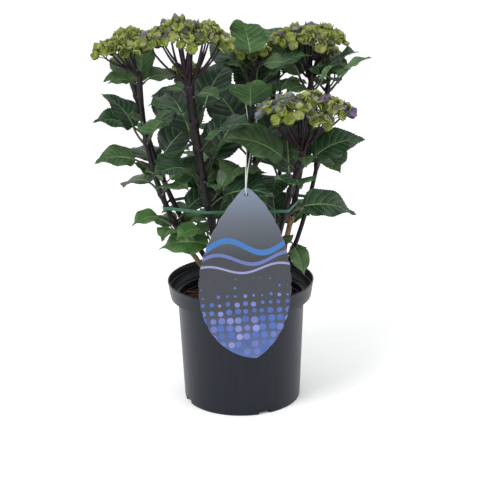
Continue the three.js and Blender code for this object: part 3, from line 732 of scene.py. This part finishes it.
# Finishes of the flowers: two tones, size of the patches, roughness, grain, relief and shine
LIME, GREEN, PALE, TINGED, BEAD, VIOLET, BLUE = range(7)
sepal_tones = {
    "sepal_lime": ("6d7d34", "8f9e44", 7, 0.6, 0.8, 0.1, 0.3),
    "sepal_green": ("485826", "646f32", 7, 0.6, 0.8, 0.1, 0.3),
    "sepal_pale": ("868e4b", "9ca066", 7, 0.6, 0.8, 0.1, 0.3),
    "sepal_tinged": ("5f5562", "7c7680", 5, 0.6, 0.8, 0.1, 0.3),
    "floret_bead": ("66763a", "84904a", 3, 0.5, 0.6, 0.1, 0.5),
    "sepal_violet": ("54406a", "7c6488", 6, 0.6, 0.8, 0.1, 0.3),
    "sepal_blue": ("56688f", "8292b4", 6, 0.6, 0.8, 0.1, 0.3),
}
sepal_finishes = [surface(name, *tones) for name, tones in sepal_tones.items()]
ray_purple = surface("ray_purple", "170c15", "2c1926", 6, 0.5, 0.8, 0.12, 0.3)

sepal_reach = np.array([0.05, 0.2, 0.38, 0.56, 0.74, 0.89, 1.0])[:, None]
sepal_half = np.array([0.1, 0.4, 0.64, 0.72, 0.58, 0.3, 0.02])[:, None]
sepal_side = np.array([-1, -0.6, 0, 0.6, 1])[None, :]


def end_tint(across, deep, seed):
    """Blue at the left end of the front head and violet at its right end, on some florets."""
    if deep < -0.35:
        return None
    if across > 0.3 and seeded(seed * 5.3) < 0.9:
        return VIOLET
    if across < -0.15 and seeded(seed * 5.3) < 0.6:
        return BLUE
    return TINGED if seeded(seed * 5.3) > 0.88 else None


def add_floret(heap, middle, facing, turn, radius, paint, tint, tips, seed):
    """Four or five overlapping cupped sepals round a small bead, some of them tinted outside."""
    side = np.array([math.cos(turn), math.sin(turn), 0.0])
    side = unit(side - facing * (side @ facing))
    other = np.cross(facing, side)
    count = 5 if seeded(seed * 5.1) > 0.75 else 4
    opening = 0.6 + 0.6 * seeded(seed * 7.3)
    for number in range(count):
        angle = 2 * math.pi * number / count + 0.3 * (seeded(seed + number) - 0.5)
        size = radius * (0.88 + 0.22 * seeded(seed * 2 + number))
        outward = side * math.cos(angle) + other * math.sin(angle)
        sideways = other * math.cos(angle) - side * math.sin(angle)
        lift = opening + 0.25 * (seeded(seed * 3 + number) - 0.5)
        away = size * sepal_reach * (1.03 - 0.28 * lift * sepal_reach) * (1 - 0.08 * sepal_side ** 2)
        lateral = size * sepal_half * sepal_side
        cupped = lift * sepal_reach ** 1.7 + 0.2 * sepal_side ** 2 * sepal_reach
        rise = size * (cupped - 0.06 * (number % 2))
        rise = rise + size * 0.05 * np.sin(6 * sepal_reach + 3 * sepal_side + number)
        rows = middle + away[..., None] * outward + lateral[..., None] * sideways
        rows = rows + rise[..., None] * facing
        sepal_paint = np.full((len(sepal_reach) - 1, 4), paint)
        # Margins halfway out are darker green: partly the sepals' own darker edges, partly painted
        # shade of the cup. Margins near the tips are paler.
        sepal_paint[2:4, (0, 3)] = GREEN
        sepal_paint[4:, (0, 3)] = PALE
        if tint and seeded(seed * 3.7 + number) < 0.75:
            sepal_paint[2:] = tint
        elif seeded(seed * 8.9 + number) < tips:
            sepal_paint[-2:] = TINGED
        heap_grid(heap, rows, sepal_paint, around=False)
    bead = middle + facing * np.array([-0.4, 0.4, 1.2, 1.7])[:, None]
    heap_tube(heap, bead, [0.7, 1.3, 1.1, 0.3], 6, BEAD)


def cluster_places(name, fork, seed):
    """Middles of a head's clusters, spiralling out over its dome, their facings and their turns."""
    middle_at, half_widths, top, dome, count = heads[name][:5]
    low = min(SEPAL_RISE, (top - fork[2]) / 6)
    numbers = np.arange(count)
    share = np.sqrt((numbers + 0.5) / count)
    turns = np.radians(numbers * GOLDEN_ANGLE + seed * 50)
    out = share[:, None] * np.stack([np.cos(turns), np.sin(turns)], -1)
    heights = top - FLORET_CUP - low - dome * share ** 2 - 4 * seeded(seed * 40 + numbers)
    middles = np.column_stack([np.array(middle_at) + half_widths * out, heights])
    return middles, unit(np.column_stack([FACING_OUT * out, np.ones(count)])), turns


def add_cluster(blossom, rays, name, node, middle, facing, seed, one):
    """A cluster of flowers round the end of one branch, each on a thin stalk of its own."""
    middle_at, half_widths, tinged = heads[name][0], heads[name][1], heads[name][6]
    first = unit(np.cross(facing, [0.3, 1, 0.1]))
    second = np.cross(facing, first)
    turned = 2 * math.pi * seeded(seed * 90 + one)
    for number in range(CLUSTER):
        key = seed * 100 + one * 7 + number
        inner = number == CLUSTER - 1
        bearing = turned + 2 * math.pi * number / (CLUSTER - 1)
        lean = first * math.cos(bearing) + second * math.sin(bearing)
        place = middle + lean * (0 if inner else CLUSTER_SPREAD)
        place = place + facing * ((-1 if inner else -5.5) + 3.4 * (seeded(key * 1.3) - 0.5))
        tilt = unit(facing + lean * (0.0 if inner else 0.6))
        size = SMALL_FLORET * (0.82 + 0.24 * seeded(key * 2.9))
        pick = seeded(key * 4.1)
        paint = LIME if pick < 0.45 else GREEN if pick < 0.8 else PALE
        tint = TINGED if seeded(key * 6.3) < tinged else None
        if name == "front_right":
            tint = end_tint(*(place[:2] - middle_at) / half_widths, key)
        handle = node + facing * 4 + lean * 3
        pedicel = bowed(node, handle, place - tilt * 1.2, np.linspace(0, 1, 5))[0]
        heap_tube(rays, pedicel, [0.9, 0.7, 0.6, 0.6, 0.9], 5)
        tips = TINGED_TIPS if tinged else 0
        add_floret(blossom, place, tilt, 7 * seeded(key), size, paint, tint, tips, key)


def add_head(blossom, rays, name):
    """A flower head: the throat on its cane's tip, its rays and their branches and flowers."""
    seed = list(heads).index(name) + 1
    ray_count = heads[name][5]
    tip, along, radius = cane_point(name, 1.0)
    fork = tip + along * FORK_ABOVE
    sunk = fork - along * FORK_SUNK
    throat = tip + along * np.array([-3, 0, 3, 6, 9, 11])[:, None]
    heap_tube(rays, throat, radius * np.array([1, 1, 1, 1.02, 1, 0.55]), 14)
    middles, facings, turns = cluster_places(name, fork, seed)
    sectors = np.floor(((turns / (2 * math.pi)) % 1) * ray_count)
    for sector in range(ray_count):
        group = np.flatnonzero(sectors == sector)
        if not len(group):
            continue
        hub = middles[group].mean(0)
        hub[:2] += 0.2 * (fork[:2] - hub[:2])
        hub[2] -= HUB_DROP
        control = sunk + (hub - sunk) * np.array([0.5, 0.5, 0.4])
        line = bowed(sunk, control, hub, np.linspace(0, 1, 21))[0]
        for order, one in enumerate(group):
            start = line[0 if order == 0 else int(4 + 8 * seeded(seed * 70 + one))]
            node = middles[one] - facings[one] * CLUSTER_STALK
            bend = start + (node - start) * np.array([0.62, 0.62, 0.42])
            branch = bowed(start, bend, node, np.linspace(0, 1, 13))[0]
            thick = RAY_RADIUS if order == 0 else BRANCH_RADIUS
            heap_tube(rays, branch, np.linspace(thick, BRANCH_TIP, 13), 8)
            add_cluster(blossom, rays, name, node, middles[one], facings[one], seed, one)


blossom_parts = {
    "left": ("far_left", "left", "centre_left", "back_left"),
    "right": ("centre", "front_right", "right", "far_right", "back_right"),
}
for part_name, members in blossom_parts.items():
    blossom, rays = new_heap(), new_heap()
    for name in members:
        add_head(blossom, rays, name)
    nodes = [f"flower_head_{name}" for name in members]
    make_piece(f"florets_{part_name}", blossom, sepal_finishes, nodes, sharp=80)
    make_piece(f"flower_rays_{part_name}", rays, [ray_purple], nodes)

# -------------------------------- card
# A plant label: thin printed plastic sheet cut to a pointed oval with scalloped edges and a
# punched hole near its top. It hangs before the pot and rests on its rim.

CARD_TOP = np.array([9, -104.2, 351])
CARD_BOTTOM = np.array([20, -111.2, 101])
CARD_LEFT = 75
CARD_RIGHT = 56
CARD_THICK = 1.2
CARD_HOLE = 2.6
HOLE_BELOW = 11
SCALLOP = 18
SCALLOP_DEPTH = 1.8
card_length = float(np.linalg.norm(CARD_BOTTOM - CARD_TOP))
card_down = unit(CARD_BOTTOM - CARD_TOP)
card_face = unit(np.cross([1, 0, 0], card_down))
card_across = unit(np.cross(card_down, card_face))


def four_point(corners, shares):
    """Points on a curve with two ends and two handles."""
    a, b, c, d = (np.array(one, float) for one in corners)
    t = shares[:, None]
    return (1 - t) ** 3 * a + 3 * t * (1 - t) ** 2 * b + 3 * t ** 2 * (1 - t) * c + t ** 3 * d


def card_edge(half, waist, shoulder, above, below, toe):
    """One side of the card: from its top out to its waist, and in again to its point."""
    shares = np.linspace(0, 1, 200)
    upper = four_point([(0, 0), (half * 0.35, shoulder), (half, above), (half, waist)], shares)
    lower = four_point([(half, waist), (half, below), toe, (0, card_length)], shares)
    return np.vstack([upper, lower[1:]])


waist = card_length * 0.55
right_edge = card_edge(CARD_RIGHT, waist, 12, waist * 0.45, waist * 1.45, (25, card_length - 12))
left_edge = card_edge(-CARD_LEFT, waist * 1.1, 22, waist * 0.6, waist * 1.6, (-30, card_length - 2))
downs = np.concatenate([[0.4], np.linspace(2, card_length - 2, 150), [card_length - 0.4]])
scallops = SCALLOP_DEPTH * (1 - np.abs(np.sin(math.pi * downs / SCALLOP)) ** 0.7)
scallops = scallops * np.clip(np.minimum(downs, card_length - downs) / 40, 0, 1)
right_half = np.interp(downs, right_edge[:, 1], right_edge[:, 0]) - scallops
left_half = np.interp(downs, left_edge[:, 1], left_edge[:, 0]) + scallops
over = np.linspace(0, 1, 41)
across_at = left_half[:, None] + (right_half - left_half)[:, None] * over
down_at = np.broadcast_to(downs[:, None], across_at.shape)
curl = 2.2 * (across_at / CARD_LEFT) ** 2 - 0.5 + 0.6 * np.sin(down_at / 40)
flat = CARD_TOP + across_at[..., None] * card_across + down_at[..., None] * card_down
outward = -card_face
front_sheet = flat + (curl + CARD_THICK / 2)[..., None] * outward
back_sheet = flat + (curl - CARD_THICK / 2)[..., None] * outward
card_heap = new_heap()
card_paint = np.zeros((len(downs) - 1, 2 * len(over)), int)
card_paint[:, len(over) - 1:] = 1
card_skin = np.concatenate([front_sheet, back_sheet[:, ::-1]], 1)
heap_grid(card_heap, card_skin, card_paint)


def chain(nodes, links, kind, operation, values):
    """Adds a node that works on numbers or on the outputs of other nodes, and gives its outputs."""
    node = nodes.new(kind)
    node.operation = operation
    for number, value in enumerate(values):
        if isinstance(value, bpy.types.NodeSocket):
            links.new(value, node.inputs[number])
        else:
            node.inputs[number].default_value = value
    return node.outputs


def laid_over(nodes, links, factor, under, over):
    """One colour over another where the factor is 1."""
    mix = nodes.new("ShaderNodeMix")
    mix.data_type = "RGBA"
    links.new(factor, mix.inputs["Factor"])
    links.new(under, mix.inputs[6])
    if isinstance(over, tuple):
        mix.inputs[7].default_value = over
    else:
        links.new(over, mix.inputs[7])
    return mix.outputs[2]


def stepped_ramp(nodes, links, factor, stops):
    """A ramp through tones at given places, looked up by a factor."""
    ramp = nodes.new("ShaderNodeValToRGB")
    for at, code in stops[1:-1]:
        ramp.color_ramp.elements.new(at)
    for element, (at, code) in zip(ramp.color_ramp.elements, stops):
        element.position = at
        element.color = tone(code)
    links.new(factor, ramp.inputs["Fac"])
    return ramp.outputs["Color"]


# The print's waves: metres below the card's top, swing, phase, half width and tone
WAVES = (
    (0.085, 0.010, 0.4, 0.0042, "285f9c"),
    (0.103, 0.008, 1.3, 0.0026, "4f5f94"),
    (0.117, 0.006, 2.2, 0.0016, "7b82a8"),
)
WAVES_PER_METRE = 62.0
DOTS_PER_METRE = 84
DOTS_FROM = 0.128
GROUND_STOPS = ((0.0, "68758a"), (0.2, "4c525c"), (0.4, "282b32"), (0.7, "2b2d38"), (1.0, "465886"))
DOT_STOPS = ((0.0, "2a4380"), (0.35, "36589c"), (0.7, "5a649f"), (1.0, "7d83b2"))


def printed_card():
    """Slate and lavender print: waved lines above, a field of blue dots that grow downwards."""
    material = surface("card_print", "50566a", "50566a", 30, 0.3, 2, 0.02)
    nodes, links = material.node_tree.nodes, material.node_tree.links

    def sums(operation, *values):
        """The result of an operation on numbers."""
        return chain(nodes, links, "ShaderNodeMath", operation, values)[0]

    def along(place, direction):
        """How far a place lies along a direction."""
        places = (place, direction)
        return chain(nodes, links, "ShaderNodeVectorMath", "DOT_PRODUCT", places)["Value"]

    place = nodes.new("ShaderNodeTexCoord").outputs["Object"]
    apart = chain(nodes, links, "ShaderNodeVectorMath", "SUBTRACT", (place, CARD_TOP / 1000))[0]
    across, down = along(apart, card_across), along(apart, card_down)
    colour = stepped_ramp(nodes, links, sums("DIVIDE", down, card_length / 1000), GROUND_STOPS)
    for height, swing, phase, wide, code in WAVES:
        sine = sums("SINE", sums("MULTIPLY_ADD", across, WAVES_PER_METRE, phase))
        line = sums("MULTIPLY_ADD", sine, swing, height)
        inside = sums("LESS_THAN", sums("ABSOLUTE", sums("SUBTRACT", down, line)), wide)
        colour = laid_over(nodes, links, inside, colour, tone(code))
    flat_place = nodes.new("ShaderNodeCombineXYZ")
    links.new(across, flat_place.inputs[0])
    links.new(down, flat_place.inputs[1])
    dots = nodes.new("ShaderNodeTexVoronoi")
    dots.inputs["Scale"].default_value = DOTS_PER_METRE
    dots.inputs["Randomness"].default_value = 0.25
    links.new(flat_place.outputs[0], dots.inputs["Vector"])
    size = nodes.new("ShaderNodeMapRange")
    for number, value in enumerate((DOTS_FROM, 0.19, 0.06, 0.43), 1):
        size.inputs[number].default_value = value
    links.new(down, size.inputs["Value"])
    dotted = sums("LESS_THAN", dots.outputs["Distance"], size.outputs["Result"])
    dotted = sums("MULTIPLY", dotted, sums("GREATER_THAN", down, DOTS_FROM))
    tints = stepped_ramp(nodes, links, dots.outputs["Color"], DOT_STOPS)
    colour = laid_over(nodes, links, dotted, colour, tints)
    links.new(colour, nodes["Principled BSDF"].inputs["Base Color"])
    return material


card_back = surface("card_back", "a8adb0", "b4b9bb", 20, 0.45, 1.5, 0.03)
card_sides = [printed_card(), card_back]
card = make_piece("plant_card", card_heap, card_sides, ["card"], sharp=50)
punch_heap = new_heap()
hole_at = CARD_TOP + card_down * HOLE_BELOW
punch_line = hole_at + outward * np.array([-8, 8])[:, None]
heap_tube(punch_heap, punch_line, [CARD_HOLE, CARD_HOLE], 28)
punch_mesh = bpy.data.meshes.new("card_punch")
punch_mesh.from_pydata((np.vstack(punch_heap["points"]) / 1000).tolist(), [], punch_heap["faces"])
punch = add_object("card_punch", punch_mesh)
cut = card.modifiers.new("hole", "BOOLEAN")
cut.object = punch
cut.operation = "DIFFERENCE"
cut.solver = "EXACT"
bpy.context.view_layer.update()
punched = bpy.data.meshes.new_from_object(card.evaluated_get(bpy.context.evaluated_depsgraph_get()))
card.modifiers.clear()
card.data = punched
bpy.data.objects.remove(punch)

# -------------------------------- card's loop
# A thin white plastic thread, welded into one loop: through the card's hole, up among the
# leaves, and round the middle cane.

LOOP_RADIUS = 0.7
LOOP_HEIGHT = 446


def closed_curve(places, steps):
    """An even closed curve through the places, its bends eased by their distance apart."""
    places = np.asarray(places, float)
    total = len(places)
    drawn = []
    for number in range(total):
        a, b, c, d = (places[(number + step) % total] for step in (-1, 0, 1, 2))
        gaps = [max(np.linalg.norm(two - one), 1e-6) ** 0.5 for one, two in ((a, b), (b, c), (c, d))]
        leave = (b - a) / gaps[0] - (c - a) / (gaps[0] + gaps[1]) + (c - b) / gaps[1]
        arrive = (c - b) / gaps[1] - (d - b) / (gaps[1] + gaps[2]) + (d - c) / gaps[2]
        leave, arrive = leave * gaps[1], arrive * gaps[1]
        share = np.linspace(0, 1, 40, endpoint=False)[:, None]
        drawn.append(b + leave * share + (3 * (c - b) - 2 * leave - arrive) * share ** 2
                     + (2 * (b - c) + leave + arrive) * share ** 3)
    drawn = np.vstack(drawn + [places[:1]])
    run = np.concatenate([[0], np.cumsum(np.linalg.norm(np.diff(drawn, axis=0), axis=1))])
    even = np.linspace(0, run[-1], steps, endpoint=False)
    return np.stack([np.interp(even, run, drawn[:, axis]) for axis in range(3)], -1)


def closed_tube(points, width, height, sides, lie=None):
    """Rings round a closed line, flat ones lying against the way that lie gives."""
    along = unit(np.roll(points, -1, 0) - np.roll(points, 1, 0))
    out = np.broadcast_to(np.array([0.31, 0.2, 0.1]), points.shape) if lie is None else lie
    out = unit(out - along * (out * along).sum(1)[:, None])
    other = np.cross(along, out)
    angles = 2 * math.pi * (np.arange(sides) + 0.5) / sides
    power = 1 if lie is None else 0.5
    round_out = np.sign(np.cos(angles)) * np.abs(np.cos(angles)) ** power * width
    round_up = np.sign(np.sin(angles)) * np.abs(np.sin(angles)) ** power * height
    return points[:, None] + round_out[:, None] * out[:, None] + round_up[:, None] * other[:, None]


(cx, cy, _), _, ring_radius = cane_at("centre", LOOP_HEIGHT)
clear = ring_radius + LOOP_RADIUS + 2.4
hx, hy, hz = hole_at
loop_places = [
    (hx, hy, hz - 1.2), (hx, hy - 3.5, hz + 3), (hx - 0.5, hy - 4, hz + 10), (hx, hy + 4, hz + 32),
    (cx - clear + 1, cy - 22, LOOP_HEIGHT - 22), (cx - clear, cy, LOOP_HEIGHT),
    (cx, cy + clear, LOOP_HEIGHT + 1), (cx + clear, cy, LOOP_HEIGHT),
    (cx + clear - 1, cy - 22, LOOP_HEIGHT - 22), (hx + 2, hy + 10, hz + 28), (hx, hy + 4, hz + 3),
]
loop_heap = new_heap()
loop_skin = closed_tube(closed_curve(loop_places, 320), LOOP_RADIUS, LOOP_RADIUS, 10)
heap_grid(loop_heap, loop_skin, along=True)
loop_white = surface("loop_white", "b4b8b4", "cbcfca", 4, 0.42, 0.5, 0.05)
make_piece("card_thread", loop_heap, [loop_white], ["card_loop"])

# -------------------------------- band
# A soft green plastic band, pulled tight round the outer canes to hold them together.

BAND_HEIGHT = 296
BAND_WIDTH = 4.6
BAND_THICK = 1.1
BAND_CLEAR = 0.9
band_order = ("far_left", "left", "centre_left", "front_right", "right", "far_right", "back_right",
              "back_left")

stops = [cane_at(name, BAND_HEIGHT) for name in band_order]
band_line, band_out = [], []
for number, (point, _, radius) in enumerate(stops):
    before = stops[number - 1][0]
    after = stops[(number + 1) % len(stops)][0]
    arriving = unit((point - before) * [1, 1, 0])
    leaving = unit((after - point) * [1, 1, 0])
    for share in np.linspace(0, 1, 9):
        heading = unit(arriving + (leaving - arriving) * share)
        outward = np.cross(heading, UP)
        away = radius * 1.12 + BAND_THICK / 2 + BAND_CLEAR
        band_line.append(np.array([point[0], point[1], BAND_HEIGHT]) + outward * away)
        band_out.append(outward)
band_line, band_out = np.array(band_line), np.array(band_out)
spans_line, spans_out = [], []
for number in range(len(band_line)):
    ahead = (number + 1) % len(band_line)
    for share in (0, 0.5) if number % 9 < 8 else np.linspace(0, 1, 12, endpoint=False):
        spans_line.append(band_line[number] * (1 - share) + band_line[ahead] * share)
        spans_out.append(unit(band_out[number] * (1 - share) + band_out[ahead] * share))
spans_line = np.array(spans_line)
spans_line[:, 2] += 0.35 * lumps(spans_line, 23)
band_heap = new_heap()
band_skin = closed_tube(spans_line, BAND_THICK / 2, BAND_WIDTH / 2, 12, lie=np.array(spans_out))
heap_grid(band_heap, band_skin, along=True)
band_green = surface("band_green", "25583f", "386f55", 8, 0.42, 0.7, 0.06)
make_piece("cane_band", band_heap, [band_green], ["band"])

# -------------------------------- floor, light and camera
# A plain white floor under soft, even studio light, seen from a little above the plant's top.

floor_mesh = bpy.data.meshes.new("floor")
floor_mesh.from_pydata([(-9, -9, 0), (9, -9, 0), (9, 9, 0), (-9, 9, 0)], [], [(0, 1, 2, 3)])
floor_mesh.materials.append(surface("floor_paper", "fefefe", "ffffff", 400, 0.85, 2, 0.02, 0))
floor = add_object("floor", floor_mesh)

world = bpy.data.worlds.new("studio")
world.use_nodes = True
world.node_tree.nodes["Background"].inputs["Color"].default_value = (0.985, 0.99, 1.0, 1)
world.node_tree.nodes["Background"].inputs["Strength"].default_value = 1.0
bpy.context.scene.world = world


def placed(place, right, upward, forward):
    """The matrix of a lamp or camera that looks forward from a place."""
    turn = Matrix(np.column_stack([right, upward, -forward]).tolist()).to_4x4()
    return Matrix.Translation(place) @ turn


def soft_light(name, place, aim, size, power):
    """A round lamp at a place, turned to the point that it aims at."""
    lamp = bpy.data.lights.new(name, "AREA")
    lamp.shape = "DISK"
    lamp.size = size
    lamp.energy = power
    forward = unit(np.array(aim, float) - np.array(place, float))
    right = unit(np.cross(forward, UP + [0.001, 0, 0]))
    add_object(name, lamp).matrix_world = placed(place, right, np.cross(right, forward), forward)


soft_light("key_light", (-1.5, -1.7, 2.1), (0, 0, 0.35), 1.3, 46)
soft_light("fill_light", (1.9, -1.2, 1.3), (0, 0, 0.3), 1.6, 12)

CAMERA_TILT = math.radians(17.75)
CAMERA_ROLL = math.radians(-0.95)
CAMERA_PLACE = (0, -1.945, 0.864)
CAMERA_LENS = 104.81
forward = np.array([0, math.cos(CAMERA_TILT), -math.sin(CAMERA_TILT)])
right = np.array([1.0, 0, 0])
upward = np.cross(right, forward)
tilted_right = math.cos(CAMERA_ROLL) * right + math.sin(CAMERA_ROLL) * upward
tilted_up = -math.sin(CAMERA_ROLL) * right + math.cos(CAMERA_ROLL) * upward
camera_data = bpy.data.cameras.new("camera")
camera_data.lens = CAMERA_LENS
camera_data.sensor_width = 36
camera = add_object("camera", camera_data)
camera.matrix_world = placed(CAMERA_PLACE, tilted_right, tilted_up, forward)
bpy.context.scene.camera = camera
bpy.context.scene.view_settings.view_transform = "Standard"
